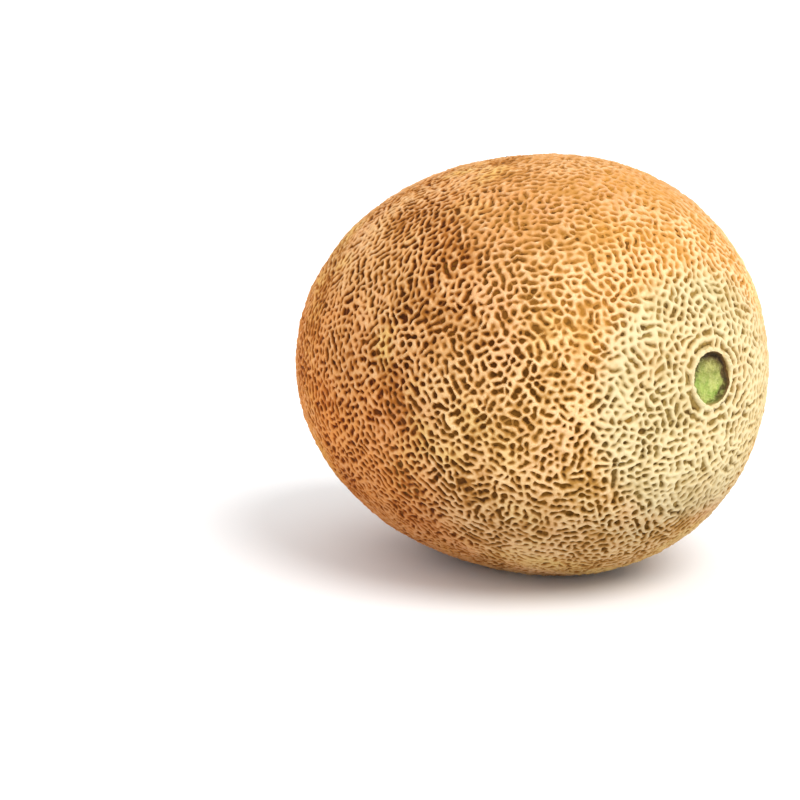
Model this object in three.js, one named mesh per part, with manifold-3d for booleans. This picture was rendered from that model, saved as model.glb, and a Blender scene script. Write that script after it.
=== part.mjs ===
// A whole netted melon, lying on its side on a small flat spot.
//
// Millimetres, +Z up. The stem end points along +X and is raised a little; the blossom end
// points along -X. The origin lies on the surface that the melon rests on, under the middle
// of its bounding box.
//
// The fruit is one solid: a smooth skin, a net of cork ridges raised from it, corky rings
// round the hollow that the stem left, and a small button at the blossom end. The net is
// coarser and higher than on the real fruit, so that its ridges hold their shape.

import * as THREE from "three";
import { ConvexHull } from "three/addons/math/ConvexHull.js";
import { mergeVertices } from "three/addons/utils/BufferGeometryUtils.js";
import Module from "manifold-3d";

const wasm = await Module();
wasm.setup();

// Skin, measured from the centre of the widest section.
const STEM_HALF = 79.2;
const BLOSSOM_HALF = 97.6;
const RADIUS = 74.4;
const FULLNESS = 2.19; // exponent of the outline, where 2 is an ellipse
const LOBE_DEPTH = 0.0114; // of the radius, for three faint lobes round the axis
const LOBE_TURN = 3.35;

// How the fruit lies.
const TILT = THREE.MathUtils.degToRad(5.3); // the stem end is up
const FLAT_SINK = 1.2; // how much of the belly the flat spot takes away

// Net.
const CELLS = 480;
const CELL_JITTER = 0.42; // of the distance between neighbouring cells
const PAIRED_SHARE = 0.75; // of the cells, joined in twos into long openings
const NET_HEIGHT = 0.95;
const NET_TOP_HALF = 1.15; // half the width of a ridge's flat top
const NET_FOOT_HALF = 2.35; // half the width of a ridge at its foot
const NET_UNEVEN = 0.22; // how much heights and widths vary, as a share
const FLOOR_DROP = 0.35; // of the open floors, below the skin
const FLOOR_SHARE = 0.35; // the least share of a cell that stays open
const NET_SEED = 20;

// Scar where the stem came off, and the corky rings round it, the lip of the scar last.
const SCAR_RADIUS = 9.0;
const SCAR_DEPTH = 3.0;
const SCAR_DOME = 0.9; // rise of the scar's floor at its middle
const RINGS = [
  { radius: 19.4, halfWidth: 1.5, height: 0.9 },
  { radius: 15.2, halfWidth: 1.5, height: 1.1 },
  { radius: 11.0, halfWidth: 1.8, height: 1.6 },
];
const CAP_RADIUS = 21.4;
const CAP_OVERLAP = 0.3;
const CAP_WOBBLE = 0.02; // of the radius, so that the rings are not perfect circles
const CAP_STEPS = 40;
const ROOT_DEPTH = 5.0; // how far the cap and the button are sunk into the flesh

// Button at the blossom end.
const BUTTON_RADIUS = 5.2;
const BUTTON_RISE = 1.1;
const BUTTON_STEPS = 16;

// Seeded random numbers from 0 to 1.
function randomFrom(seed) {
  let state = seed;
  return () => {
    state = (state + 0x6d2b79f5) | 0;
    let mixed = Math.imul(state ^ (state >>> 15), 1 | state);
    mixed = (mixed + Math.imul(mixed ^ (mixed >>> 7), 61 | mixed)) ^ mixed;
    return ((mixed ^ (mixed >>> 14)) >>> 0) / 2 ** 32;
  };
}

// Distance from the centre to the skin in a unit direction.
function skinDistance({ x, y, z }) {
  const across = Math.hypot(y, z);
  const half = x > 0 ? STEM_HALF : BLOSSOM_HALF;
  const alongPart = (Math.abs(x) / half) ** FULLNESS;
  const acrossPart = (across / RADIUS) ** FULLNESS;
  const lobe = LOBE_DEPTH * across ** 2 * Math.cos(3 * Math.atan2(z, y) + LOBE_TURN);
  return (alongPart + acrossPart) ** (-1 / FULLNESS) * (1 + lobe);
}

// Height of the skin along the axis, above the centre, at a distance from the axis.
function endHeight(half, fromAxis) {
  return half * (1 - (fromAxis / RADIUS) ** FULLNESS) ** (1 / FULLNESS);
}

// Middles of the net's cells: a spiral over the sphere, shaken so that no two are alike.
function cellMiddles() {
  const random = randomFrom(NET_SEED);
  const spacing = Math.sqrt((4 * Math.PI) / CELLS);
  const goldenTurn = Math.PI * (3 - Math.sqrt(5));
  const middles = [];
  for (let i = 0; i < CELLS; i++) {
    const along = 1 - (2 * (i + 0.5)) / CELLS;
    const around = Math.sqrt(1 - along ** 2);
    const turn = goldenTurn * i;
    const middle = new THREE.Vector3(along, around * Math.cos(turn), around * Math.sin(turn));
    const shake = new THREE.Vector3(random() - 0.5, random() - 0.5, random() - 0.5);
    middle.addScaledVector(shake, 2 * CELL_JITTER * spacing).normalize();
    middles.push(middle);
  }
  return middles;
}

// The cells round the middles. Three cells meet at each corner, which lies straight above a
// face of the middles' convex hull; every cell has its corners in order round it.
function netCells(middles) {
  const hull = new ConvexHull().setFromPoints(middles);
  const indexOf = new Map(middles.map((middle, cell) => [middle, cell]));
  const cells = middles.map((middle) => ({ middle, corners: [] }));
  const corners = hull.faces.map((face, corner) => {
    const meeting = [0, 1, 2].map((side) => indexOf.get(face.getEdge(side).head().point));
    for (const cell of meeting) cells[cell].corners.push(corner);
    return { direction: face.normal.clone().normalize(), meeting };
  });
  for (const cell of cells) {
    const east = new THREE.Vector3(cell.middle.y, -cell.middle.x, 0.1).cross(cell.middle);
    const north = cell.middle.clone().cross(east);
    const turnOf = (corner) => {
      const { direction } = corners[corner];
      return Math.atan2(direction.dot(north), direction.dot(east));
    };
    cell.corners.sort((a, b) => turnOf(a) - turnOf(b));
  }
  return { cells, corners };
}

// Every border once, the longest first: its two corners, and the cells to its left and right.
function netBorders({ cells, corners }) {
  const borders = [];
  cells.forEach((cell, left) => {
    cell.corners.forEach((from, k) => {
      const to = cell.corners[(k + 1) % cell.corners.length];
      const shared = corners[from].meeting.filter((other) => corners[to].meeting.includes(other));
      const right = shared.find((other) => other !== left);
      const length = corners[from].direction.distanceTo(corners[to].direction);
      if (left < right) borders.push({ from, to, left, right, length });
    });
  });
  return borders.sort((a, b) => b.length - a.length);
}

// Cells joined in twos across their longest borders: for each joined cell, its partner.
function pairedCells(borders) {
  const partner = new Map();
  for (const { left, right } of borders) {
    if (partner.size >= PAIRED_SHARE * CELLS) break;
    if (partner.has(left) || partner.has(right)) continue;
    partner.set(left, right);
    partner.set(right, left);
  }
  return partner;
}

// The skin with its net: flat-topped ridges along the borders, and slopes down from them to
// the floor of each opening.
function nettedSkin() {
  const net = netCells(cellMiddles());
  const borders = netBorders(net);
  const partner = pairedCells(borders);
  const random = randomFrom(NET_SEED + 1);
  const uneven = net.corners.map(() => 1 + NET_UNEVEN * (2 * random() - 1));
  const points = [];
  const triangles = [];
  const addPoint = (direction, height) => {
    points.push(...direction.clone().multiplyScalar(skinDistance(direction) + height).toArray());
    return points.length / 3 - 1;
  };

  // One point on the ridge's top and one at its foot for each opening at each corner.
  const edges = net.corners.map(({ direction, meeting }, corner) => {
    const made = new Map();
    for (const cell of meeting) {
      const other = partner.get(cell);
      if (made.has(other)) {
        made.set(cell, made.get(other));
        continue;
      }
      const home = net.cells[cell].middle.clone();
      if (meeting.includes(other)) home.add(net.cells[other].middle).normalize();
      const reach = home.distanceTo(direction) * RADIUS;
      const inwards = (half) => Math.min((half * uneven[corner]) / reach, 1 - FLOOR_SHARE);
      const foot = inwards(NET_FOOT_HALF);
      const top = Math.min(inwards(NET_TOP_HALF), foot / 2);
      made.set(cell, {
        top: addPoint(direction.clone().lerp(home, top).normalize(), NET_HEIGHT * uneven[corner]),
        foot: addPoint(direction.clone().lerp(home, foot).normalize(), -FLOOR_DROP),
      });
    }
    return made;
  });

  // The tops of the ridges, and the slopes on both sides of them.
  for (const { from, to, left, right } of borders) {
    if (partner.get(left) === right) continue;
    const [fromLeft, fromRight] = [edges[from].get(left), edges[from].get(right)];
    const [toLeft, toRight] = [edges[to].get(left), edges[to].get(right)];
    triangles.push(toLeft.top, fromLeft.top, fromRight.top);
    triangles.push(toLeft.top, fromRight.top, toRight.top);
    triangles.push(fromLeft.top, toLeft.top, toLeft.foot);
    triangles.push(fromLeft.top, toLeft.foot, fromLeft.foot);
    triangles.push(toRight.top, fromRight.top, fromRight.foot);
    triangles.push(toRight.top, fromRight.foot, toRight.foot);
  }

  // Where three ridges meet.
  net.corners.forEach(({ meeting }, corner) => {
    const tops = meeting.map((cell) => edges[corner].get(cell).top);
    if (new Set(tops).size === 3) triangles.push(...tops);
  });

  // The floors of the openings.
  net.cells.forEach((cell, index) => {
    const feet = cell.corners.map((corner) => edges[corner].get(index).foot);
    for (let k = 2; k < feet.length; k++) triangles.push(feet[0], feet[k - 1], feet[k]);
  });
  return solidFrom(points, triangles);
}

function solidFrom(points, triangles) {
  const vertProperties = new Float32Array(points);
  const triVerts = new Uint32Array(triangles);
  return new wasm.Manifold(new wasm.Mesh({ numProp: 3, vertProperties, triVerts }));
}

// A closed profile of [distance from the axis, height along it] points, turned about the
// melon's axis. end is 1 at the stem end and -1 at the blossom end.
function turned(profile, end, steps, wobble = 0) {
  const outline = profile.map(([fromAxis, height]) => new THREE.Vector2(fromAxis, height));
  const geometry = new THREE.LatheGeometry(outline, steps);
  const { position } = geometry.attributes;
  for (let i = 0; i < position.count; i++) {
    const turn = Math.atan2(position.getZ(i), position.getX(i));
    const wave = Math.sin(2 * turn + 0.7) + 0.7 * Math.sin(3 * turn + 2) + 0.5 * Math.sin(7 * turn);
    const spread = 1 + wobble * wave;
    position.setXYZ(i, position.getX(i) * spread, position.getY(i), position.getZ(i) * spread);
  }
  geometry.rotateZ((-end * Math.PI) / 2);
  geometry.deleteAttribute("normal");
  geometry.deleteAttribute("uv");
  const merged = mergeVertices(geometry, 1e-3);
  return solidFrom(merged.attributes.position.array, merged.index.array);
}

// The stem end in one piece: a shallow round hollow with a domed floor, its lip, and rings.
function stemCap() {
  const skin = (fromAxis) => endHeight(STEM_HALF, fromAxis);
  const profile = [
    [0, skin(CAP_RADIUS) - ROOT_DEPTH],
    [CAP_RADIUS, skin(CAP_RADIUS) - ROOT_DEPTH],
    [CAP_RADIUS, skin(CAP_RADIUS) - FLOOR_DROP],
  ];
  for (const { radius, halfWidth, height } of RINGS) {
    const inside = Math.max(radius - halfWidth, SCAR_RADIUS + 0.2);
    profile.push([radius + halfWidth, skin(radius + halfWidth) - FLOOR_DROP]);
    profile.push([radius + halfWidth / 2, skin(radius) + height * 0.7]);
    profile.push([radius - halfWidth / 3, skin(radius) + height]);
    if (inside > SCAR_RADIUS + 0.2) profile.push([inside, skin(inside) - FLOOR_DROP]);
  }
  const floor = skin(0) - SCAR_DEPTH;
  profile.push([SCAR_RADIUS + 0.4, skin(SCAR_RADIUS) + 0.6]);
  profile.push([SCAR_RADIUS, floor]);
  profile.push([SCAR_RADIUS * 0.8, floor + SCAR_DOME * 0.35]);
  profile.push([SCAR_RADIUS * 0.45, floor + SCAR_DOME * 0.85]);
  profile.push([0, floor + SCAR_DOME]);
  return turned(profile, 1, CAP_STEPS, CAP_WOBBLE);
}

// What the cap takes the place of.
function stemPlug() {
  const reach = CAP_RADIUS - CAP_OVERLAP;
  const low = endHeight(STEM_HALF, CAP_RADIUS) - ROOT_DEPTH + CAP_OVERLAP;
  const high = STEM_HALF + 3 * NET_HEIGHT;
  const profile = [
    [0, low],
    [reach, low],
    [reach, high],
    [0, high],
  ];
  return turned(profile, 1, CAP_STEPS, CAP_WOBBLE);
}

function blossomButton() {
  const profile = [
    [0, BLOSSOM_HALF - ROOT_DEPTH],
    [BUTTON_RADIUS, BLOSSOM_HALF - ROOT_DEPTH],
    [BUTTON_RADIUS, BLOSSOM_HALF + BUTTON_RISE * 0.5],
    [BUTTON_RADIUS * 0.7, BLOSSOM_HALF + BUTTON_RISE],
    [BUTTON_RADIUS * 0.35, BLOSSOM_HALF + BUTTON_RISE * 0.5],
    [0, BLOSSOM_HALF + BUTTON_RISE * 0.4],
  ];
  return turned(profile, -1, BUTTON_STEPS);
}

// A block that holds all of the fruit above the flat spot. The widest section's centre is
// at the origin here, and the fruit is already tilted.
function aboveFlatSpot() {
  const lowest = -Math.hypot(BLOSSOM_HALF * Math.sin(TILT), RADIUS * Math.cos(TILT));
  const flat = lowest + FLAT_SINK;
  const side = 3 * BLOSSOM_HALF;
  const block = new THREE.BoxGeometry(side, side, side);
  block.translate(0, 0, flat + side / 2);
  block.deleteAttribute("normal");
  block.deleteAttribute("uv");
  const merged = mergeVertices(block, 1e-3);
  const solid = solidFrom(merged.attributes.position.array, merged.index.array);
  return { solid, flat };
}

function geometryFrom(solid) {
  const mesh = solid.getMesh();
  const geometry = new THREE.BufferGeometry();
  geometry.setAttribute("position", new THREE.BufferAttribute(mesh.vertProperties, 3));
  geometry.setIndex(new THREE.BufferAttribute(mesh.triVerts, 1));
  return geometry;
}

function melonGeometry() {
  const fruit = nettedSkin().subtract(stemPlug()).add(stemCap()).add(blossomButton());
  const { solid: block, flat } = aboveFlatSpot();
  const lying = fruit.rotate([0, -THREE.MathUtils.radToDeg(TILT), 0]).intersect(block);
  const geometry = geometryFrom(lying);
  geometry.computeBoundingBox();
  const middle = geometry.boundingBox.getCenter(new THREE.Vector3());
  geometry.translate(-middle.x, -middle.y, -flat);
  return geometry;
}

const rind = new THREE.MeshStandardMaterial({ color: 0xd9b47c, roughness: 0.75, metalness: 0 });

const melon = new THREE.Mesh(melonGeometry(), rind);
melon.name = "melon";

const group = new THREE.Group();
group.add(melon);

export default group;
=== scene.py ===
import math

import bpy
import numpy as np
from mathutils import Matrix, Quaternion, Vector
from mathutils.kdtree import KDTree


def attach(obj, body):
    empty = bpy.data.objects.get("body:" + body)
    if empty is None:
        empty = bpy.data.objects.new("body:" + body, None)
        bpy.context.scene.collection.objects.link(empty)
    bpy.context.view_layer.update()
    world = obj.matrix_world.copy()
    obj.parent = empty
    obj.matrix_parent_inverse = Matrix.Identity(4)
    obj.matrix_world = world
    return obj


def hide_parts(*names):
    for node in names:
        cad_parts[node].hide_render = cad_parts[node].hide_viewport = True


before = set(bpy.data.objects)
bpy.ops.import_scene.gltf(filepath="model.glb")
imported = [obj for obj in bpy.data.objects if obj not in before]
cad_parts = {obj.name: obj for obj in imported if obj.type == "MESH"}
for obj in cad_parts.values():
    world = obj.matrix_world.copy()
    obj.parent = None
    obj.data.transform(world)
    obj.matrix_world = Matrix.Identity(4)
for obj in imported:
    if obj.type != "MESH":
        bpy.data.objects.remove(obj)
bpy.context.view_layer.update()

MM = 0.001

# The body, as in the part's source: an egg shape of revolution with three faint lobes.
STEM_HALF = 79.2 * MM
BLOSSOM_HALF = 97.6 * MM
RADIUS = 74.4 * MM
FULLNESS = 2.19
LOBE_DEPTH = 0.0114
LOBE_TURN = 3.35
TILT = math.radians(5.3)
FLAT_SINK = 1.2 * MM
BODY_SAMPLES = 200000  # points that find the body's box

# The two ends. Each is known by the sign of X there.
STEM = 1
BLOSSOM = -1
END_HALVES = {STEM: STEM_HALF, BLOSSOM: BLOSSOM_HALF}
END_SEEDS = {STEM: 71, BLOSSOM: 81}  # of the random shapes at each end

# The sites of the net's cells. Cells are joined by up to four into long openings.
SITE_PITCH = 3.05 * MM
SITE_JITTER = 0.42  # of the pitch
SITE_CLEARANCE = 1.12  # of the pitch: sites nearer than this are pushed apart
SITE_PUSH = 0.3  # the share of what is missing that one push makes up
ARC_STEPS = 4000  # along the body's outline, for its area
NEAR_SITES = 6  # neighbours that a site is pushed from or joined with
JOINED = (0.08, 0.34, 0.34, 0.24)  # shares of the sites that may be alone, in twos, and so on
SLIMNESS = 0.78  # how near to straight a row of joined cells is
FLOW_LENGTH = 30 * MM  # over which the way that the openings run turns
FLOW_SEEDS = (31, 32, 33)
FLOW_PULL = 1.2  # how strongly the openings follow that way
FAR_PENALTY = 0.8  # how much less likely far sites are to be joined

# The cords between the openings. Variations are (share, length of the waves, seed).
CORD_HALF = 0.93 * MM  # half the width of a cord at its foot
CORD_WIDTHS = ((0.06, 30 * MM, 51), (0.16, 6 * MM, 52))
SLIMMEST_CORD = 0.5  # of its half width
CORD_HEIGHT = 0.85 * MM
CORD_HEIGHTS = ((0.12, 24 * MM, 61), (0.12, 5 * MM, 62), (0.08, 2.2 * MM, 63))
CORD_HEIGHT_LIMITS = (0.5, 1.4)
CORD_ROUNDING = 0.17 * MM  # how softly the corners of openings are rounded
WARP = 0.28 * MM
WARP_LENGTH = 7 * MM
WARP_SEEDS = (41, 42, 43)
FINE_WARP = 0.09 * MM
FINE_WARP_LENGTH = 2.6 * MM
FINE_WARP_SEEDS = (44, 45, 46)
BEYOND_FOOT = 2  # how steeply a cord's height falls on beyond its foot

# Low spur cords, which cross the openings here and there.
SPUR_HALF = 0.55 * MM
SPUR_HEIGHT = 0.25 * MM
SPUR_SINK = 0.08 * MM
SPUR_USUAL = 0.6
SPUR_SPREAD = 0.65
SPUR_LENGTH = 6.5 * MM
SPUR_LIMITS = (0.1, 1.6)
SPUR_SEED = 53

# How finely the net and the skin are made.
NEIGHBOURS = 11  # sites looked at round each point, with its own
GRID = 242  # squares along each side of the six patches that the net is made on
SKIN_GRID = 64
SLOPE_STEP = 0.03 * MM  # over which slopes are measured for the normals
STEEPEST = 4  # the most that a slope may bend a normal
ASKEW = (0.3, 0.9, 0.31)  # a way that no grid point's normal has
FOOT_HEIGHT = 2e-3 * MM  # what lies lower is a cord's foot
FOOT_SINK = 0.06 * MM  # feet are sunk by this, so that no gap shows
UV_MARGIN = 0.01

# The stem scar and the rings round it, all measured from the axis.
SCAR_RADIUS = 9.0 * MM
LIP_RADIUS = 11.0 * MM
RING_RADII = (11.9 * MM, 15.1 * MM)
RING_MARGIN = 1.2 * MM  # no spurs as far as this outside the last ring
BUTTON_RADIUS = 5.9 * MM
BUTTON_RING = 6.9 * MM
RING_JOINED = (4, 4, 2)  # the most cells in one opening, on each ring
RING_PITCH = 0.95  # of the pitch of the loose sites
RING_GAP = 0.62  # of that pitch, from the last ring to the first loose site
RING_TURN_JITTER = 0.22
RING_RADIUS_JITTER = 0.012
NET_OVERLAP = 0.85 * MM  # how far the net reaches in under the lip and the button
NET_FADE = 0.3 * MM  # over which its height grows there from nothing

# How far from round the features at the ends are.
END_WOBBLE = 0.035
WOBBLE_REACH = 10 * MM  # the distance from the axis at which the waves are read
WOBBLE_LENGTH = 16 * MM

# Sections through the scar with its lip, and through the button: distances from the axis and
# heights over the skin, in millimetres.
SCAR_SECTION = (
    (0.0, -0.45),
    (3.0, -0.5),
    (5.6, -0.7),
    (7.3, -0.95),
    (8.1, -1.15),
    (8.4, -0.95),
    (8.6, -0.3),
    (8.8, 0.35),
    (9.15, 0.85),
    (9.7, 1.02),
    (10.2, 0.9),
    (10.5, 0.62),
    (10.8, 0.22),
    (11.1, -0.4),
)
BUTTON_SECTION = (
    (0.0, -0.1),
    (0.9, 0.0),
    (1.7, 0.75),
    (2.5, 0.85),
    (3.1, 0.6),
    (3.8, 1.1),
    (4.6, 1.0),
    (5.1, 0.75),
    (5.6, 0.3),
    (6.0, -0.4),
)
ROUND_START = 0.01 * MM  # the radius of the pinhole at the middle of a round piece
ROUND_OVERLAP = 0.1 * MM
ROUND_CREST = 0.9 * MM  # the height at which the lip has the colour of a crest
ROUND_UNEVEN = 0.12
ROUND_UNEVEN_LENGTH = 8 * MM
ROUGH = 0.2 * MM
ROUGH_LENGTH = 3.0 * MM
FINE_ROUGH = 0.09 * MM
FINE_ROUGH_LENGTH = 1.1 * MM

# The skin's hollow under the scar, and the height over the floor that the skin keeps.
HOLLOW_MARGIN = 0.6 * MM
HOLLOW_SLOPE = 1.5 * MM
HOLLOW_DEPTH = 4.5 * MM
SKIN_CLEARANCE = 0.25 * MM

# Regions of colour: the way along which each sets in, the places where it starts and is full,
# how strong it gets, and the scale and range of the soft patches that shift it. Some of them are
# painted light, painted shade or a painted reflection, as said at each.
# Partly the fruit's own more orange tone towards the blossom end, and partly painted shade: darker
# there, on the side away from the key light, most of all in the openings.
WARM_AND_SHADED_BACK = ((1.0, 0.0, -0.475), (0.065, -0.018), 0.94, 24.0, (-0.14, 0.14))
# Painted light: lighter and yellower on the upper side towards the stem, where the key light
# falls, most of all in the openings and at the cords' feet.
PAINTED_LIGHT_TOP = ((0.9, 0.12, 1.0), (0.13, 0.185), 1.0, 30.0, (-0.2, 0.2))
CREAM_END = ((1.0, 0.0, 0.0), (0.074, 0.0795), 1.0, 50.0, (-0.3, 0.0))
# Painted reflection: orange bounce light painted on low down on the near side of the blossom half.
PAINTED_BOUNCE_SIDE = ((-0.8, -0.86, -0.7), (-0.010, 0.035), 0.5, 40.0, (-0.15, 0.05))
REGIONS = (WARM_AND_SHADED_BACK, PAINTED_LIGHT_TOP, CREAM_END, PAINTED_BOUNCE_SIDE)
NOISE_RANGE = (0.3, 0.7)  # between which most values of a noise lie

# Colours on the pale belly and then in each of those regions. The second is darker partly as
# painted shade, the third is lighter as painted light, and the last is a painted orange
# reflection.
FLANK_COLOURS = (
    (0.50, 0.27, 0.06),
    (0.36, 0.115, 0.010),
    (0.60, 0.29, 0.075),
    (0.60, 0.47, 0.235),
    (0.48, 0.095, 0.003),
)
# The cords' feet: browner cork, made darker still as painted shade where the cords meet the skin.
SHADED_FOOT_COLOURS = (
    (0.165, 0.075, 0.007),
    (0.090, 0.017, 0.001),
    (0.58, 0.27, 0.05),
    (0.34, 0.24, 0.085),
    (0.18, 0.024, 0.0005),
)
SKIN_COLOURS = (
    (0.12, 0.055, 0.003),
    (0.070, 0.012, 0.0007),
    (0.50, 0.22, 0.032),
    (0.27, 0.18, 0.05),
    (0.14, 0.018, 0.0004),
)
# Crests, from the belly to the back, where they turn more orange and partly darker as painted
# shade, and then on the cream region and under the painted orange reflection.
CREST_STOPS = (
    (0.0, (0.73, 0.59, 0.325)),
    (0.25, (0.79, 0.555, 0.27)),
    (0.55, (0.83, 0.54, 0.255)),
    (1.0, (0.64, 0.30, 0.10)),
)
CREAM_CREST = (0.70, 0.59, 0.34)
# The crest colour under that painted orange reflection.
PAINTED_BOUNCE_CREST = (0.74, 0.22, 0.015)
FLANK_RISE = (0.04, 0.57)  # the shares of a cord's height where its foot turns into flank
CREST_RISE = (0.5, 0.97)
# Painted shade: the net is darkened towards the bottom of the fruit, where less light reaches it.
BELLY_PAINTED_SHADE = (0.70, 0.67, 0.68)
BELLY_PAINTED_SHADE_HEIGHTS = (0.052, 0.030)  # the heights where that shade starts and is full
BELLY_PAINTED_SHADE_MOST = 0.75

# Flecks and patches: the colour, the most of it, the noise values between which it sets in,
# and the settings of the noise.
CREST_PATCHES = (
    ((0.90, 0.74, 0.48), 0.4, (0.45, 0.7), (420.0, 3.0, 0.65)),
    ((0.62, 0.32, 0.11), 0.5, (0.48, 0.72), (190.0, 3.0)),
    ((0.60, 0.26, 0.06), 0.4, (0.5, 0.8), (60.0, 3.0)),
    ((0.78, 0.43, 0.23), 0.4, (0.52, 0.7), (44.0, 2.0)),
    ((0.50, 0.25, 0.08), 0.45, (0.5, 0.72), (1100.0, 2.0, 0.6)),
    ((0.76, 0.55, 0.13), 0.5, (0.55, 0.75), (33.0, 2.0, 0.5, 0.3)),
)
SKIN_PATCHES = (
    ((0.30, 0.115, 0.007), 0.6, (0.5, 0.75), (75.0, 3.0)),
    ((0.13, 0.095, 0.010), 0.5, (0.58, 0.78), (36.0, 2.0)),
    ((0.035, 0.010, 0.001), 0.75, (0.45, 0.65), (260.0, 2.0)),
)
BUTTON_PATCHES = (((0.22, 0.10, 0.03), 0.5, (0.45, 0.75), (900.0, 3.0, 0.7)),)
BUTTON_STOPS = (
    (0.0, (0.10, 0.045, 0.012)),
    (0.22, (0.20, 0.10, 0.035)),
    (0.45, (0.50, 0.30, 0.13)),
    (0.80, (0.58, 0.34, 0.13)),
    (1.0, (0.30, 0.14, 0.03)),
)

# The scar's flesh, low and high in the hollow; its wall, lighter on its lower side and darker on
# its upper side as painted light and shade; its fibres; and its ragged dark edge, partly a dark
# groove and partly painted shade.
FLESH_COLOURS = ((0.22, 0.33, 0.045), (0.46, 0.50, 0.13))
UPPER_FLESH_COLOURS = ((0.15, 0.13, 0.02), (0.36, 0.33, 0.09))
WALL_PAINTED_LIGHT_AND_SHADE = ((0.30, 0.24, 0.06), (0.12, 0.055, 0.010))
FIBRE_COLOURS = ((0.62, 0.60, 0.26), (0.20, 0.12, 0.03))
# The dark edge: partly a dark groove with torn fibres, partly painted shade.
DARK_GROOVE_AND_SHADE_STOPS = (
    (0.72, (1.0, 1.0, 1.0)),
    (0.88, (0.40, 0.34, 0.28)),
    (0.96, (0.14, 0.08, 0.05)),
)

# The floor and the light.
FLOOR_HALF = 6.0
FLOOR_GREY = 0.92
WORLD_STRENGTH = 1.0
KEY_STRENGTH = 2.2
KEY_SOFTNESS = math.radians(35)
KEY_AZIMUTH = math.radians(92)
KEY_ELEVATION = math.radians(50)

# The camera stands where the photograph was taken from. It looks to the left of the fruit
# and a little below its middle, so that the fruit is right of the picture's middle.
VIEW_AZIMUTH = math.radians(44.26)
VIEW_ELEVATION = math.radians(12.0)
VIEW_DISTANCE = 0.9
FOCAL_PIXELS = 2505.55
PICTURE = 800
SENSOR = 36.0
FRUIT_PIXEL = (542.7, 365.06)  # where the body's centre falls in the picture

rng = np.random.default_rng(7)


def waves(points, length, seed, count=28):
    """A smooth random field of unit variance, with features about half of length across."""
    local = np.random.default_rng(seed)
    ways = local.normal(size=(count, 3))
    ways /= np.linalg.norm(ways, axis=1)[:, None]
    numbers = ways * (2 * math.pi / length * local.uniform(0.6, 1.4, count))[:, None]
    phases = local.uniform(0, 2 * math.pi, count)
    angles = points.astype(np.float32) @ numbers.T.astype(np.float32) + phases.astype(np.float32)
    return np.cos(angles).sum(1) * math.sqrt(2 / count)


def wave_vectors(points, length, seeds):
    return np.stack([waves(points, length, seed) for seed in seeds], 1)


def varied(points, variations):
    """About 1 everywhere, more or less by each variation."""
    fields = (share * waves(points, length, seed) for share, length, seed in variations)
    return sum(fields, 1)


def unit(vectors):
    return vectors / np.linalg.norm(vectors, axis=-1, keepdims=True)


def axis_distance(points):
    return np.hypot(points[:, 1], points[:, 2])


# The body, with its axis along X and its widest section's centre at the origin.
def skin_distance(ways):
    x, y, z = ways.T
    across = np.hypot(y, z)
    half = np.where(x > 0, STEM_HALF, BLOSSOM_HALF)
    lobe = LOBE_DEPTH * across**2 * np.cos(3 * np.arctan2(z, y) + LOBE_TURN)
    round_body = (np.abs(x) / half) ** FULLNESS + (across / RADIUS) ** FULLNESS
    return round_body ** (-1 / FULLNESS) * (1 + lobe)


def skin_points(ways):
    return ways * skin_distance(ways)[:, None]


def skin_normals(points):
    x, y, z = points.T
    across = np.maximum(np.hypot(y, z), 1e-9)
    half = np.where(x > 0, STEM_HALF, BLOSSOM_HALF)
    along_part = np.sign(x) * np.abs(x) ** (FULLNESS - 1) / half**FULLNESS
    across_part = across ** (FULLNESS - 2) / RADIUS**FULLNESS
    return unit(np.stack([along_part, across_part * y, across_part * z], 1))


def end_height(end, from_axis):
    """How far out along the axis the skin lies, near one end."""
    return END_HALVES[end] * (1 - (from_axis / RADIUS) ** FULLNESS) ** (1 / FULLNESS)


# How the fruit lies: tilted, and moved so that its box stands on the origin. FLAT is the
# height of its flat spot, counted from the body's centre.
FLAT = FLAT_SINK - math.hypot(BLOSSOM_HALF * math.sin(TILT), RADIUS * math.cos(TILT))


def tilted(points):
    x, y, z = points.T
    turned_x = x * math.cos(TILT) - z * math.sin(TILT)
    turned_z = x * math.sin(TILT) + z * math.cos(TILT)
    return np.stack([turned_x, y, turned_z], 1)


def body_shift():
    spread = rng.normal(size=(BODY_SAMPLES, 3))
    points = tilted(skin_points(unit(spread)))
    middle = (points.max(0) + points.min(0)) / 2
    return np.array([-middle[0], -middle[1], -FLAT])


SHIFT = body_shift()
CENTRE = Vector(SHIFT.tolist())


def placed(points, floor=0.0):
    """Points of the upright body, in the part's frame. None reaches below the floor."""
    out = tilted(points) + SHIFT
    out[:, 2] = np.maximum(out[:, 2], floor)
    return out


# Six square patches that cover the body: a grid on each side of a cube, bulged out. Each has
# the way that it faces, and the ways to its right and up.
PATCHES = {
    "stem": ((1, 0, 0), (0, 1, 0), (0, 0, 1)),
    "blossom": ((-1, 0, 0), (0, -1, 0), (0, 0, 1)),
    "far": ((0, 1, 0), (-1, 0, 0), (0, 0, 1)),
    "near": ((0, -1, 0), (1, 0, 0), (0, 0, 1)),
    "top": ((0, 0, 1), (0, 1, 0), (-1, 0, 0)),
    "under": ((0, 0, -1), (0, 1, 0), (1, 0, 0)),
}
STRETCH = 1.16  # evens out the squares of the long body


def patch_ways(name, squares):
    """Unit directions of a patch's grid points, row by row, and their places from 0 to 1."""
    out, right, up = (np.array(v, float) for v in PATCHES[name])
    steps = np.linspace(-1, 1, squares + 1)
    slopes = np.tan(steps * math.pi / 4)
    u, v = (grid.ravel() for grid in np.meshgrid(steps, steps))
    tan_u, tan_v = (grid.ravel() for grid in np.meshgrid(slopes, slopes))
    ways = out + tan_u[:, None] * right + tan_v[:, None] * up
    ways[:, 0] *= STRETCH
    return unit(ways), np.stack([u, v], 1) / 2 + 0.5


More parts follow.
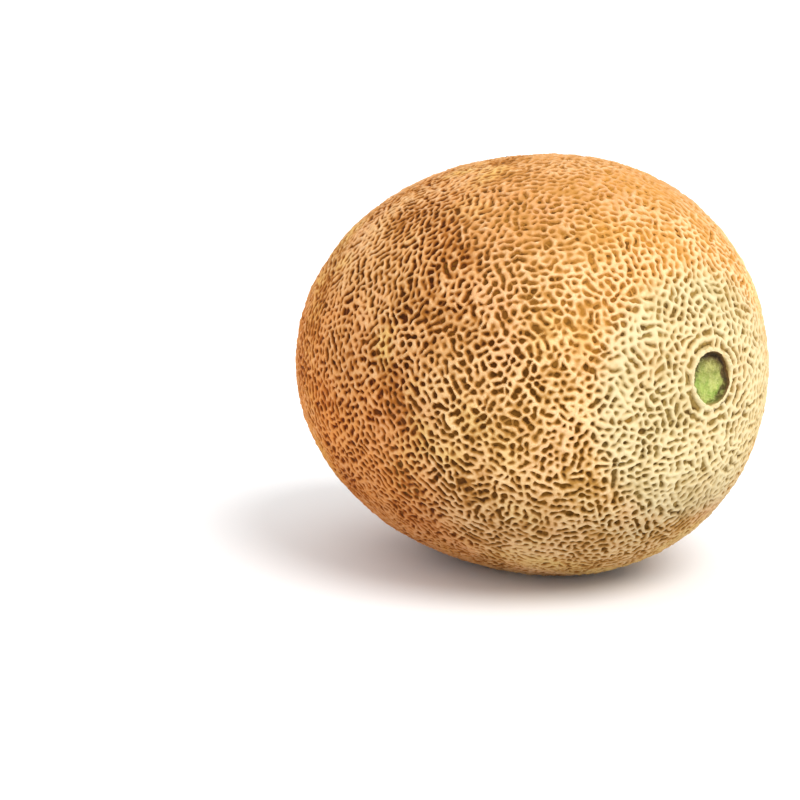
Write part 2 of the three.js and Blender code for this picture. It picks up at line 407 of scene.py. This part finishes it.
def grid_triangles(squares):
    """Two triangles for each square, with the diagonals alternating."""
    corner = np.arange(squares)[:, None] * (squares + 1) + np.arange(squares)
    a, b = corner, corner + 1
    c, d = corner + squares + 2, corner + squares + 1
    odd = (np.add.outer(np.arange(squares), np.arange(squares)) % 2).astype(bool)
    first = np.where(odd[..., None], np.stack([a, b, c], -1), np.stack([a, b, d], -1))
    second = np.where(odd[..., None], np.stack([a, c, d], -1), np.stack([b, c, d], -1))
    return np.concatenate([first.reshape(-1, 3), second.reshape(-1, 3)])


# Meshes.
def make_piece(name, points, triangles, places, material, attributes=None, normals=None):
    """A smooth mesh piece of the fruit. places are its UV places, one for each corner."""
    mesh = bpy.data.meshes.new(name)
    mesh.vertices.add(len(points))
    mesh.vertices.foreach_set("co", points.astype(np.float32).ravel())
    mesh.loops.add(triangles.size)
    mesh.loops.foreach_set("vertex_index", triangles.astype(np.int32).ravel())
    mesh.polygons.add(len(triangles))
    mesh.polygons.foreach_set("loop_start", np.arange(0, triangles.size, 3, dtype=np.int32))
    mesh.update(calc_edges=True)
    mesh.polygons.foreach_set("use_smooth", np.ones(len(mesh.polygons), bool))
    layer = mesh.uv_layers.new(name="OFBake")
    layer.data.foreach_set("uv", places.astype(np.float32).ravel())
    for key, values in (attributes or {}).items():
        attribute = mesh.attributes.new(key, "FLOAT", "POINT")
        attribute.data.foreach_set("value", values.astype(np.float32))
    if normals is not None:
        mesh.normals_split_custom_set_from_vertices(normals.tolist())
    mesh.materials.append(material)
    piece = bpy.data.objects.new(name, mesh)
    bpy.context.scene.collection.objects.link(piece)
    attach(piece, "root")
    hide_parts("melon")
    return piece


def clipped(triangles, inside, *fields):
    """The part of a triangle mesh where inside is positive, cut along its zero line."""
    positive = inside > 0
    kept = positive[triangles].sum(1)
    whole = triangles[kept == 3]
    count = len(inside)
    crossed = (kept == 1) | (kept == 2)
    cut = triangles[crossed]
    odd_one = positive[cut] == (kept[crossed] == 1)[:, None]
    turn = odd_one.argmax(1)
    rows = np.arange(len(cut))
    a, b, c = (cut[rows, (turn + k) % 3] for k in range(3))
    ends = np.concatenate([np.stack([a, b], 1), np.stack([a, c], 1)])
    edges, where = np.unique(np.sort(ends, 1), axis=0, return_inverse=True)
    where = where.ravel() + count
    ab, ac = where[: len(cut)], where[len(cut) :]
    share = (inside[edges[:, 0]] / (inside[edges[:, 0]] - inside[edges[:, 1]]))[:, None]
    alone = positive[a]
    tips = np.stack([a, ab, ac], 1)[alone]
    stumps = np.concatenate([np.stack([ab, b, c], 1), np.stack([ab, c, ac], 1)])
    stumps = stumps[np.tile(~alone, 2)]
    made = np.concatenate([whole, tips, stumps])
    used, made = np.unique(made, return_inverse=True)
    out = []
    for field in fields:
        column = field.reshape(count, -1)
        between = column[edges[:, 0]] * (1 - share) + column[edges[:, 1]] * share
        joined = np.concatenate([column, between])[used]
        out.append(joined if field.ndim > 1 else joined[:, 0])
    return made.reshape(-1, 3), *out


# The sites of the net's cells.
def ring_sites(end, radius):
    """Sites on a ring round the axis at one end, a little shaken."""
    count = round(2 * math.pi * radius / (SITE_PITCH * RING_PITCH))
    shaken = rng.uniform(-RING_TURN_JITTER, RING_TURN_JITTER, count)
    turns = (np.arange(count) + shaken) * 2 * math.pi / count
    radii = radius * (1 + rng.uniform(-RING_RADIUS_JITTER, RING_RADIUS_JITTER, count))
    heights = end * end_height(end, radii)
    return np.stack([heights, radii * np.cos(turns), radii * np.sin(turns)], 1)


def spiral_sites():
    """Sites spread evenly over the body's area along a spiral, then shaken."""
    polar = np.linspace(0, math.pi, ARC_STEPS + 1)
    arc = np.stack([np.cos(polar), np.sin(polar), np.zeros_like(polar)], 1)
    across = arc / np.maximum(np.linalg.norm(arc, axis=1), 1e-9)[:, None]
    curve = across * skin_distance(across)[:, None]
    steps = np.linalg.norm(np.diff(curve, axis=0), axis=1)
    belts = steps * math.pi * (curve[1:, 1] + curve[:-1, 1])
    area = np.concatenate([[0], np.cumsum(belts)])
    count = int(area[-1] / (SITE_PITCH**2 * math.sqrt(3) / 2))
    turns = np.arange(count) * math.pi * (3 - math.sqrt(5))
    angles = np.interp((np.arange(count) + 0.5) / count * area[-1], area, polar)
    ways = np.stack(
        [np.cos(angles), np.sin(angles) * np.cos(turns), np.sin(angles) * np.sin(turns)], 1
    )
    points = skin_points(ways)
    points += rng.uniform(-1, 1, points.shape) * SITE_JITTER * SITE_PITCH
    return skin_points(unit(points))


def net_sites():
    """Loose sites all over the body, and the rings of sites round its two ends."""
    loose = spiral_sites()
    last_ring = np.where(loose[:, 0] > 0, RING_RADII[-1], BUTTON_RING)
    loose = loose[axis_distance(loose) > last_ring + RING_GAP * SITE_PITCH]
    rings = [ring_sites(STEM, radius) for radius in RING_RADII]
    rings.append(ring_sites(BLOSSOM, BUTTON_RING))
    return loose, rings


def tree_of(points):
    tree = KDTree(len(points))
    for index, point in enumerate(points):
        tree.insert(point, index)
    tree.balance()
    return tree


def nearest(tree, points, count):
    return np.array([[hit[1] for hit in tree.find_n(p, count)] for p in points.tolist()])


def relaxed(loose, rings, rounds=5):
    """The loose sites pushed apart, so that no two are very close."""
    for _ in range(rounds):
        sites = np.concatenate([loose, *rings])
        near = nearest(tree_of(sites), loose, NEAR_SITES + 1)[:, 1:]
        away = loose[:, None] - sites[near]
        apart = np.linalg.norm(away, axis=2, keepdims=True)
        push = away / apart * np.maximum(SITE_CLEARANCE * SITE_PITCH - apart, 0)
        loose = skin_points(unit(loose + SITE_PUSH * push.sum(1)))
    return loose


def joined_cells(loose, rings):
    """A group number for each site. Cells with one number share one opening."""
    sites = np.concatenate([loose, *rings])
    group = np.arange(len(sites))
    near = nearest(tree_of(loose), loose, NEAR_SITES + 1)[:, 1:]
    pairs = np.stack([np.repeat(np.arange(len(loose)), NEAR_SITES), near.ravel()], 1)
    pairs = pairs[pairs[:, 0] < pairs[:, 1]]
    along = unit(loose[pairs[:, 1]] - loose[pairs[:, 0]])
    apart = np.linalg.norm(loose[pairs[:, 1]] - loose[pairs[:, 0]], axis=1)
    flow = unit(wave_vectors(loose[pairs[:, 0]], FLOW_LENGTH, FLOW_SEEDS))
    score = rng.uniform(0, 1, len(pairs)) + FLOW_PULL * np.abs((along * flow).sum(1))
    score -= FAR_PENALTY * np.maximum(apart / SITE_PITCH - 1, 0)
    size = np.ones(len(sites), int)
    largest = rng.choice(len(JOINED), len(loose), p=JOINED) + 1
    for pair in pairs[np.argsort(-score)]:
        a, b = group[pair]
        if a == b or size[a] + size[b] > min(largest[pair[0]], largest[pair[1]]):
            continue
        both = sites[(group == a) | (group == b)]
        reach = np.linalg.norm(both[:, None] - both, axis=2).max()
        if reach < SLIMNESS * SITE_PITCH * (len(both) - 1):
            continue
        group[group == b] = a
        size[a] += size[b]
    start = len(loose)
    for ring, most in zip(rings, RING_JOINED):
        k = 0
        while k < len(ring):
            step = int(rng.integers(1, most + 1))
            group[start + k : start + min(k + step, len(ring))] = start + k
            k += step
        start += len(ring)
    return sites, group


def members_of(group, most=len(JOINED)):
    """For each site, itself and then the sites that share its opening."""
    order = np.argsort(group, kind="stable")
    table = np.repeat(np.arange(len(group))[:, None], most + 1, 1)
    bounds = np.flatnonzero(np.diff(group[order])) + 1
    for cells in np.split(order, bounds):
        table[cells, 1 : len(cells) + 1] = cells[:most]
    return table


loose_sites, site_rings = net_sites()
loose_sites = relaxed(loose_sites, site_rings)
SITES, GROUP = joined_cells(loose_sites, site_rings)
SITES = SITES.astype(np.float32)
MEMBERS = members_of(GROUP)
TREE = tree_of(SITES)


def soft_least(gaps):
    """The least of each row of gaps, a little less where several are close to it."""
    least = gaps.min(1)
    blend = np.exp(-(gaps - least[:, None]) / CORD_ROUNDING).sum(1)
    return least - CORD_ROUNDING * np.log(blend)


def end_wobble(points, end):
    """How far from round the features at one end are: about 1, in all directions."""
    ways = np.stack([np.zeros(len(points)), points[:, 1], points[:, 2]], 1)
    reach = np.maximum(np.linalg.norm(ways, axis=1), 1e-6)[:, None]
    return 1 + END_WOBBLE * waves(ways / reach * WOBBLE_REACH, WOBBLE_LENGTH, END_SEEDS[end])


def end_edges(points):
    """The radius at which the round piece of the nearer end has its foot."""
    stem = LIP_RADIUS / end_wobble(points, STEM)
    return np.where(points[:, 0] > 0, stem, BUTTON_RADIUS / end_wobble(points, BLOSSOM))


def past_net_edge(points):
    """How far points lie outside the line under the lip or the button where the net ends."""
    return axis_distance(points) - end_edges(points) + NET_OVERLAP


def warped(points):
    bent = points + WARP * wave_vectors(points, WARP_LENGTH, WARP_SEEDS)
    return bent + FINE_WARP * wave_vectors(points, FINE_WARP_LENGTH, FINE_WARP_SEEDS)


def profile(share):
    """The height across half a cord: 0 at its foot, 1 at its crest, falling on beyond the foot."""
    return np.where(share < 0, BEYOND_FOOT * share, 1 - (1 - np.minimum(share, 1)) ** 2)


def net_height(points, near):
    """The net's height over skin points, less than 0 in the openings. near has their sites."""
    bent = warped(points).astype(np.float32)
    own = near[:, 0]
    mates = SITES[MEMBERS[own]]
    own_squares = ((bent[:, None] - mates) ** 2).sum(-1)
    gaps, single_gaps = [], []
    for k in range(1, NEIGHBOURS):
        other = near[:, k]
        squares = ((bent - SITES[other]) ** 2).sum(-1)
        apart = np.sqrt(((SITES[other][:, None] - mates) ** 2).sum(-1)) + 1e-6
        gap = ((squares[:, None] - own_squares) / (2 * apart)).max(1)
        gaps.append(np.where(GROUP[other] == GROUP[own], 1.0, gap))
        single_gaps.append((squares - own_squares[:, 0]) / (2 * apart[:, 0]))
    from_axis = axis_distance(points)
    half = np.maximum(CORD_HALF * varied(points, CORD_WIDTHS), SLIMMEST_CORD * CORD_HALF)
    gaps.append(from_axis - end_edges(points) + half)
    share = 1 - soft_least(np.stack(gaps, 1)) / half
    on_rings = (points[:, 0] > 0) & (from_axis < RING_RADII[-1] + RING_MARGIN)
    strength = SPUR_USUAL + SPUR_SPREAD * waves(points, SPUR_LENGTH, SPUR_SEED)
    strength = np.clip(strength, *SPUR_LIMITS) * ~on_rings
    spur_share = 1 - soft_least(np.stack(single_gaps, 1)) / SPUR_HALF
    uneven = np.clip(varied(points, CORD_HEIGHTS), *CORD_HEIGHT_LIMITS)
    cord = profile(share) * CORD_HEIGHT * uneven
    spur = profile(spur_share) * SPUR_HEIGHT * strength - SPUR_SINK
    return np.maximum(cord, spur)


# Materials.
def node(tree, kind, inputs=None, **settings):
    made = tree.nodes.new(kind)
    for key, value in settings.items():
        setattr(made, key, value)
    for key, value in (inputs or {}).items():
        if isinstance(value, bpy.types.NodeSocket):
            tree.links.new(value, made.inputs[key])
        else:
            made.inputs[key].default_value = value
    return made


def noise(tree, where, scale, detail=3.0, roughness=0.55, distortion=0.0):
    """A noise value whose features are about 1 / scale metres across."""
    made = node(
        tree,
        "ShaderNodeTexNoise",
        {
            "Vector": where,
            "Scale": scale,
            "Detail": detail,
            "Roughness": roughness,
            "Distortion": distortion,
        },
    )
    return made.outputs["Fac"]


def ramp(tree, value, stops):
    """Colours (or greys) between positions: stops is [(position, (r, g, b)), ...]."""
    made = node(tree, "ShaderNodeValToRGB", {"Fac": value})
    elements = made.color_ramp.elements
    while len(elements) < len(stops):
        elements.new(0.5)
    for element, (position, colour) in zip(elements, stops):
        element.position = position
        element.color = (*colour, 1.0)
    return made.outputs["Color"]


def mixed(tree, share, a, b, blend="MIX"):
    made = tree.nodes.new("ShaderNodeMix")
    made.data_type = "RGBA"
    made.blend_type = blend
    made.clamp_factor = True
    for socket, value in ((made.inputs[0], share), (made.inputs[6], a), (made.inputs[7], b)):
        if isinstance(value, bpy.types.NodeSocket):
            tree.links.new(value, socket)
        elif isinstance(value, tuple):
            socket.default_value = (*value, 1.0)
        else:
            socket.default_value = value
    return made.outputs[2]


def ranged(tree, value, low, high, to_low=0.0, to_high=1.0):
    made = node(
        tree,
        "ShaderNodeMapRange",
        {
            "Value": value,
            "From Min": low,
            "From Max": high,
            "To Min": to_low,
            "To Max": to_high,
        },
    )
    return made.outputs["Result"]


def along(tree, where, way):
    made = node(tree, "ShaderNodeVectorMath", {0: where, 1: way}, operation="DOT_PRODUCT")
    return made.outputs["Value"]


def added(tree, a, b):
    made = node(tree, "ShaderNodeMath", {0: a, 1: b}, operation="ADD", use_clamp=True)
    return made.outputs["Value"]


def attribute_value(tree, name):
    return node(tree, "ShaderNodeAttribute", attribute_name=name).outputs["Fac"]


def new_material(name):
    material = bpy.data.materials.new(name)
    material.use_nodes = True
    tree = material.node_tree
    shader = tree.nodes["Principled BSDF"]
    where = node(tree, "ShaderNodeTexCoord").outputs["Object"]
    return material, tree, shader, where


def finish(tree, shader, colour, roughness, specular):
    """Sets the shader's look. roughness is a number or a node's value."""
    tree.links.new(colour, shader.inputs["Base Color"])
    if isinstance(roughness, bpy.types.NodeSocket):
        tree.links.new(roughness, shader.inputs["Roughness"])
    else:
        shader.inputs["Roughness"].default_value = roughness
    shader.inputs["Specular IOR Level"].default_value = specular


def spread(tree, value, low, high):
    """A noise value, spread over a range."""
    return ranged(tree, value, *NOISE_RANGE, low, high)


def bumped(tree, shader, height, distance, strength):
    made = node(
        tree,
        "ShaderNodeBump",
        {"Height": height, "Distance": distance, "Strength": strength},
    )
    tree.links.new(made.outputs["Normal"], shader.inputs["Normal"])


def region(tree, where, way, limits, most, scale, patch):
    """A share from 0 to most between two limits along a way, shifted by soft patches."""
    share = ranged(tree, along(tree, where, way), *limits, 0.0, most)
    return added(tree, share, spread(tree, noise(tree, where, scale, 2.0), *patch))


def region_shares(tree, where):
    return [region(tree, where, *settings) for settings in REGIONS]


def by_region(tree, shares, colours):
    """The first colour, with the others laid over it by the shares of their regions."""
    colour = colours[0]
    for share, tint in zip(shares, colours[1:]):
        colour = mixed(tree, share, colour, tint)
    return colour


def patched(tree, where, colour, patches):
    """The colour with flecks and patches of other colours laid over it, in turn."""
    for tint, most, limits, settings in patches:
        share = ranged(tree, noise(tree, where, *settings), *limits, 0.0, most)
        colour = mixed(tree, share, colour, tint)
    return colour


def net_material():
    """Dry cork: pale on the crests of the cords, and darker down their flanks to their feet. The
    dark feet are browner cork deepened by painted shade, and the pale crests stand partly for a
    painted highlight. The regions add painted light, painted shade and a painted orange
    reflection, and the bottom is darkened as painted shade.
    """
    material, tree, shader, where = new_material("net_cork")
    shares = region_shares(tree, where)
    warm_and_shaded, _, cream, painted_bounce = shares
    crest = patched(tree, where, ramp(tree, warm_and_shaded, CREST_STOPS), CREST_PATCHES)
    crest = mixed(tree, cream, crest, CREAM_CREST)
    crest = mixed(tree, painted_bounce, crest, PAINTED_BOUNCE_CREST)
    flank = by_region(tree, shares, FLANK_COLOURS)
    foot = by_region(tree, shares, SHADED_FOOT_COLOURS)
    rise = attribute_value(tree, "rise")
    # Painted shade at the cords' feet and, towards the crests, a pale colour that partly stands
    # for a highlight, over cork that is browner near the skin.
    colour = mixed(tree, ranged(tree, rise, *FLANK_RISE), foot, flank)
    colour = mixed(tree, ranged(tree, rise, *CREST_RISE), colour, crest)
    # Painted shade, darker towards the bottom.
    belly = ranged(tree, along(tree, where, (0.0, 0.0, 1.0)), *BELLY_PAINTED_SHADE_HEIGHTS, 0.0, BELLY_PAINTED_SHADE_MOST)
    colour = mixed(tree, belly, colour, BELLY_PAINTED_SHADE, "MULTIPLY")
    roughness = spread(tree, noise(tree, where, 900.0, 2.0), 0.68, 0.9)
    finish(tree, shader, colour, roughness, specular=0.15)
    grain = noise(tree, where, 850.0, 4.0, 0.7)
    bumped(tree, shader, grain, distance=0.2 * MM, strength=0.9)
    return material


def skin_material():
    """The dark skin that shows in the openings. It is lighter as painted light on the upper side
    towards the stem, darker partly as painted shade towards the blossom end, and takes a painted
    orange reflection low on the near side.
    """
    material, tree, shader, where = new_material("skin")
    colour = by_region(tree, region_shares(tree, where), SKIN_COLOURS)
    colour = patched(tree, where, colour, SKIN_PATCHES)
    roughness = spread(tree, noise(tree, where, 500.0, 2.0), 0.45, 0.65)
    finish(tree, shader, colour, roughness, specular=0.05)
    grain = noise(tree, where, 1100.0, 3.0)
    bumped(tree, shader, grain, distance=0.05 * MM, strength=0.6)
    return material


def scar_material():
    """Green flesh, fibrous and patchy, with a ragged dark edge that is widest on the upper side:
    partly a dark groove with torn fibres, and partly painted shade where the lip overhangs. The
    wall is painted lighter on its lower side and darker on its upper side, as painted light and
    shade.
    """
    material, tree, shader, where = new_material("scar_flesh")
    inner = attribute_value(tree, "from_axis")
    ragged = noise(tree, where, 300.0, 4.0, 0.65)
    above = along(tree, where, (0.0, 0.5, 1.0))
    # The dark edge is pushed wider on the upper side, as painted shade under the lip.
    side = ranged(tree, above, 0.070, 0.084, -0.2, 0.11)
    pushed = added(tree, added(tree, inner, spread(tree, ragged, -0.17, 0.17)), side)
    mottle = ranged(tree, noise(tree, where, 240.0, 3.0, 0.6, 0.8), 0.35, 0.65)
    flesh = mixed(tree, mottle, *FLESH_COLOURS)
    upper = ranged(tree, along(tree, where, (0.0, 0.3, 1.0)), 0.077, 0.087)
    upper_flesh = mixed(tree, ranged(tree, ragged, 0.45, 0.6), *UPPER_FLESH_COLOURS)
    flesh = mixed(tree, upper, flesh, upper_flesh)
    colour = mixed(tree, 1.0, flesh, ramp(tree, pushed, DARK_GROOVE_AND_SHADE_STOPS), "MULTIPLY")
    # Painted light and shade on the wall: lighter on its lower side, darker on its upper side.
    wall = mixed(tree, ranged(tree, above, 0.070, 0.080), *WALL_PAINTED_LIGHT_AND_SHADE)
    colour = mixed(tree, ranged(tree, inner, 0.94, 0.985), colour, wall)
    streak = noise(tree, where, 700.0, 4.0, 0.7, 0.6)
    fibre = mixed(tree, ranged(tree, pushed, 0.75, 0.9), *FIBRE_COLOURS)
    colour = mixed(tree, ranged(tree, streak, 0.5, 0.75, 0.0, 0.5), colour, fibre)
    finish(tree, shader, colour, spread(tree, streak, 0.5, 0.75), specular=0.3)
    grain = noise(tree, where, 1300.0, 4.0, 0.7)
    bumped(tree, shader, grain, distance=0.2 * MM, strength=0.9)
    return material


def button_material():
    """Dry grey-brown cork, darker in the dimple at the middle."""
    material, tree, shader, where = new_material("button_cork")
    inner = attribute_value(tree, "from_axis")
    ragged = noise(tree, where, 420.0, 3.0, 0.6)
    pushed = added(tree, inner, spread(tree, ragged, -0.1, 0.1))
    colour = patched(tree, where, ramp(tree, pushed, BUTTON_STOPS), BUTTON_PATCHES)
    finish(tree, shader, colour, roughness=0.85, specular=0.15)
    grain = noise(tree, where, 1000.0, 4.0, 0.7)
    bumped(tree, shader, grain, distance=0.2 * MM, strength=0.9)
    return material


net_cork = net_material()
skin_finish = skin_material()
scar_flesh = scar_material()
button_cork = button_material()


# The net, one piece for each patch.
def make_net(name):
    ways, places = patch_ways(name, GRID)
    points = skin_points(ways)
    height = net_height(points, nearest(TREE, warped(points), NEIGHBOURS))
    shown = np.minimum(height, past_net_edge(points))
    triangles, points, places = clipped(grid_triangles(GRID), shown, points, places)
    near = nearest(TREE, warped(points), NEIGHBOURS)
    height = net_height(points, near)
    up = skin_normals(points)
    side = unit(np.cross(up, ASKEW))
    normals = up.copy()
    for way in (side, np.cross(up, side)):
        slope = (net_height(points + SLOPE_STEP * way, near) - height) / SLOPE_STEP
        normals -= way * np.clip(slope, -STEEPEST, STEEPEST)[:, None]
    inside = np.clip(past_net_edge(points) / NET_FADE, 0, 1)
    height = np.maximum(height, 0) * inside
    sunk = FOOT_SINK * (height < FOOT_HEIGHT)
    raised = placed(points + up * (height - sunk)[:, None])
    values = {"rise": height / CORD_HEIGHT}
    corners = places[triangles.ravel()]
    normals = tilted(unit(normals))
    return make_piece(f"net_{name}", raised, triangles, corners, net_cork, values, normals)


# The skin under the net: one closed piece, sunk where the scar piece lies over it.
def make_skin():
    triangles, points, places = [], [], []
    for index, name in enumerate(PATCHES):
        ways, uv = patch_ways(name, SKIN_GRID)
        triangles.append(grid_triangles(SKIN_GRID) + len(ways) * index)
        points.append(skin_points(ways))
        column, row = index % 3, index // 3
        places.append((uv * (1 - 2 * UV_MARGIN) + UV_MARGIN + [column, row]) / [3, 2])
    points = np.concatenate(points)
    within = LIP_RADIUS - HOLLOW_MARGIN - axis_distance(points)
    sunk = np.clip(within / HOLLOW_SLOPE, 0, 1) * (points[:, 0] > 0)
    points = points - skin_normals(points) * (sunk * HOLLOW_DEPTH)[:, None]
    triangles = np.concatenate(triangles)
    corners = np.concatenate(places)[triangles.ravel()]
    points = np.round(placed(points, SKIN_CLEARANCE), 7)
    points, same = np.unique(points, axis=0, return_inverse=True)
    return make_piece("skin", points, same.ravel()[triangles], corners, skin_finish)


# Round pieces at the two ends, made on polar grids.
def make_round(name, end, section, first, last, material, steps=300, rings=60):
    """A ring round the axis, from the radius first to the radius last, with this section."""
    seed = END_SEEDS[end]
    radii = np.linspace(first, last, rings + 1)
    turns = np.linspace(0, 2 * math.pi, steps, endpoint=False)
    radius, turn = (grid.ravel() for grid in np.meshgrid(radii, turns, indexing="ij"))
    flat = np.stack([np.zeros_like(radius), end * radius * np.cos(turn), radius * np.sin(turn)], 1)
    reach, height = np.array(section).T * MM
    rough = ROUGH * waves(flat, ROUGH_LENGTH, seed + 1)
    rough = rough + FINE_ROUGH * waves(flat, FINE_ROUGH_LENGTH, seed + 2)
    uneven = varied(flat, ((ROUND_UNEVEN, ROUND_UNEVEN_LENGTH, seed + 3),))
    above = np.interp(radius * end_wobble(flat, end), reach, height)
    above = np.where(above > 0, above * uneven, above) + rough
    points = flat.copy()
    points[:, 0] = end * (end_height(end, radius) + above)
    ring, step = np.meshgrid(np.arange(rings), np.arange(steps), indexing="ij")
    a = (ring * steps + step).ravel()
    b = (ring * steps + (step + 1) % steps).ravel()
    c, d = b + steps, a + steps
    triangles = np.concatenate([np.stack([a, c, b], 1), np.stack([a, d, c], 1)])
    places = (flat[:, 1:] / (2 * last) + 0.5)[triangles.ravel()]
    values = {"from_axis": radius / last, "rise": np.clip(above / ROUND_CREST, 0, 1)}
    return make_piece(name, placed(points), triangles, places, material, values)


for patch in PATCHES:
    make_net(patch)
make_skin()

LIP_END = LIP_RADIUS + ROUND_OVERLAP
BUTTON_END = BUTTON_RADIUS + ROUND_OVERLAP
make_round("stem_scar", STEM, SCAR_SECTION, ROUND_START, SCAR_RADIUS, scar_flesh)
# The lip takes the net's colours by its height, so its low edges get the painted shade of a cord's
# foot.
make_round("stem_lip", STEM, SCAR_SECTION, SCAR_RADIUS, LIP_END, net_cork, rings=24)
make_round(
    "blossom_button",
    BLOSSOM,
    BUTTON_SECTION,
    ROUND_START,
    BUTTON_END,
    button_cork,
    steps=180,
    rings=44,
)


def make_floor():
    mesh = bpy.data.meshes.new("floor")
    signs = ((-1, -1), (1, -1), (1, 1), (-1, 1))
    corners = [(sx * FLOOR_HALF, sy * FLOOR_HALF, 0) for sx, sy in signs]
    mesh.from_pydata(corners, [], [(0, 1, 2, 3)])
    floor = bpy.data.objects.new("floor", mesh)
    bpy.context.scene.collection.objects.link(floor)
    paint = bpy.data.materials.new("floor_paint")
    paint.use_nodes = True
    shader = paint.node_tree.nodes["Principled BSDF"]
    shader.inputs["Base Color"].default_value = (FLOOR_GREY, FLOOR_GREY, FLOOR_GREY, 1)
    shader.inputs["Roughness"].default_value = 0.9
    mesh.materials.append(paint)


make_floor()


def way_to(azimuth, elevation):
    """The unit vector from the fruit to a place at this azimuth and elevation."""
    return Vector(
        (
            math.sin(azimuth) * math.cos(elevation),
            -math.cos(azimuth) * math.cos(elevation),
            math.sin(elevation),
        )
    )


# Light.
scene = bpy.context.scene
world = bpy.data.worlds.new("studio")
scene.world = world
world.use_nodes = True
world.node_tree.nodes["Background"].inputs["Color"].default_value = (1.0, 1.0, 1.0, 1)
world.node_tree.nodes["Background"].inputs["Strength"].default_value = WORLD_STRENGTH

key_data = bpy.data.lights.new("key", "SUN")
key_data.energy = KEY_STRENGTH
key_data.angle = KEY_SOFTNESS
key = bpy.data.objects.new("key", key_data)
scene.collection.objects.link(key)
key_way = way_to(KEY_AZIMUTH, KEY_ELEVATION)
key.location = CENTRE + key_way
key.rotation_mode = "QUATERNION"
key.rotation_quaternion = (-key_way).to_track_quat("-Z", "Y")

scene.view_settings.view_transform = "Standard"

# The camera.
camera_data = bpy.data.cameras.new("camera")
camera_data.sensor_width = SENSOR
camera_data.lens = FOCAL_PIXELS * SENSOR / PICTURE
camera = bpy.data.objects.new("camera", camera_data)
scene.collection.objects.link(camera)
back = way_to(VIEW_AZIMUTH, VIEW_ELEVATION)
to_right = math.atan((FRUIT_PIXEL[0] - PICTURE / 2) / FOCAL_PIXELS)
to_top = math.atan((PICTURE / 2 - FRUIT_PIXEL[1]) / FOCAL_PIXELS * math.cos(to_right))
camera.rotation_mode = "QUATERNION"
camera.location = CENTRE + back * VIEW_DISTANCE
camera.rotation_quaternion = (
    (-back).to_track_quat("-Z", "Y")
    @ Quaternion((0, 1, 0), to_right)
    @ Quaternion((1, 0, 0), -to_top)
)
scene.camera = camera
